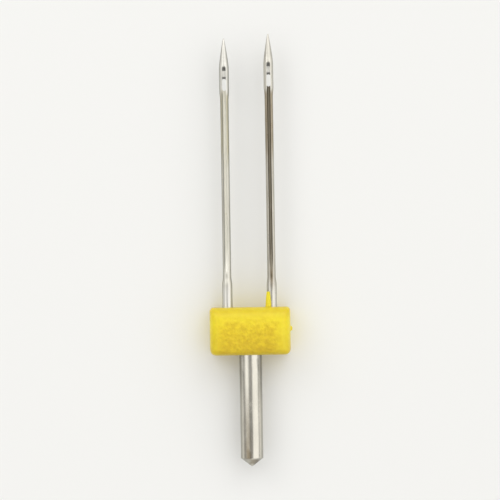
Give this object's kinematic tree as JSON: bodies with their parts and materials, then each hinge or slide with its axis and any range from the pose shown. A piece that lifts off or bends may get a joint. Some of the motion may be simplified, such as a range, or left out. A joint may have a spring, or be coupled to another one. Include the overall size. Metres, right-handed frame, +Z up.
{
  "type": "sewing machine twin needle",
  "caption": "Sewing machine twin needle: a round shank with a flat, moulded into a plastic crossbar that holds grooved needles side by side.",
  "frame": {"origin": "middle of the crossbar's flat back, on the surface that the part lies on", "axes": "+Y from the shank's butt to the needle points, +Z up, out of the front that carries the long grooves, +X across the needles to the right"},
  "size_m": [0.0074, 0.0389, 0.0035],
  "materials": {
    "shank_steel": "satin",
    "needle_steel": "polished",
    "crossbar_plastic": "satin"
  },
  "bodies": {
    "root": {"shank": "shank_steel", "crossbar": "crossbar_plastic", "needle_left": "needle_steel", "needle_right": "needle_steel"}
  },
  "joints": []
}
